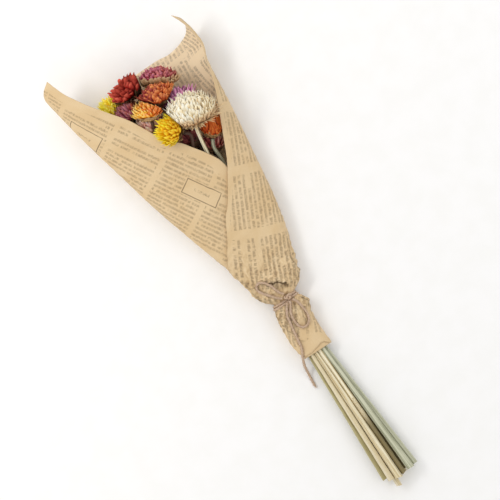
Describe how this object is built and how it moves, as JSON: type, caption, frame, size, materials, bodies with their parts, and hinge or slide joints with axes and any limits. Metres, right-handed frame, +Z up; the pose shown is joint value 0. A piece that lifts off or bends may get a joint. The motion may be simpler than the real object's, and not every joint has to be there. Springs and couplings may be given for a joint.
{
  "type": "dried flower bouquet",
  "caption": "Lying bouquet of dried strawflowers in a cone of printed kraft paper, tied with jute twine above the cut stems.",
  "frame": {"origin": "middle of the bouquet's box on the surface it lies on, the free twine left out", "axes": "+Y from the cut stems to the flowers, +X to the right seen from above, +Z up from the surface it lies on"},
  "size_m": [0.1244, 0.4056, 0.0591],
  "materials": {
    "kraft_paper": "matte, printed with rows of illegible dark brown marks",
    "jute_twine": "rough twisted jute",
    "dry_bracts": "dry papery plant",
    "stem_cream": "dry ridged plant stem",
    "stem_green": "dry ridged plant stem",
    "stem_olive": "dry ridged plant stem",
    "petals_yellow": "dry papery petals",
    "petals_maroon": "dry papery petals",
    "petals_crimson": "dry papery petals",
    "petals_purple": "dry papery petals",
    "petals_peach": "dry papery petals",
    "petals_rust": "dry papery petals",
    "petals_plum": "dry papery petals",
    "petals_magenta": "dry papery petals",
    "petals_wine": "dry papery petals",
    "petals_amber": "dry papery petals",
    "petals_lemon": "dry papery petals",
    "petals_white": "dry papery petals",
    "petals_orange": "dry papery petals"
  },
  "bodies": {
    "root": {"paper_wrap": "kraft_paper", "stem_01_yellow": "stem_olive", "calyx_01_yellow": "dry_bracts", "bloom_01_yellow": "petals_yellow", "stem_02_maroon": "stem_cream", "calyx_02_maroon": "dry_bracts", "bloom_02_maroon": "petals_maroon", "stem_03_crimson": "stem_cream", "calyx_03_crimson": "dry_bracts", "bloom_03_crimson": "petals_crimson", "stem_04_purple": "stem_green", "calyx_04_purple": "dry_bracts", "bloom_04_purple": "petals_purple", "stem_05_peach": "stem_olive", "calyx_05_peach": "dry_bracts", "bloom_05_peach": "petals_peach", "stem_06_rust": "stem_cream", "calyx_06_rust": "dry_bracts", "bloom_06_rust": "petals_rust", "stem_07_plum": "stem_olive", "calyx_07_plum": "dry_bracts", "bloom_07_plum": "petals_plum", "stem_08_magenta": "stem_olive", "calyx_08_magenta": "dry_bracts", "bloom_08_magenta": "petals_magenta", "stem_09_wine": "stem_green", "calyx_09_wine": "dry_bracts", "bloom_09_wine": "petals_wine", "stem_10_amber": "stem_cream", "calyx_10_amber": "dry_bracts", "bloom_10_amber": "petals_amber", "stem_11_lemon": "stem_cream", "calyx_11_lemon": "dry_bracts", "bloom_11_lemon": "petals_lemon", "stem_12_white": "stem_cream", "calyx_12_white": "dry_bracts", "bloom_12_white": "petals_white", "stem_13_orange": "stem_green", "calyx_13_orange": "dry_bracts", "bloom_13_orange": "petals_orange", "twine_tie": "jute_twine", "twine_loop_left": "jute_twine", "twine_loop_right": "jute_twine", "twine_end": "jute_twine"}
  },
  "joints": []
}
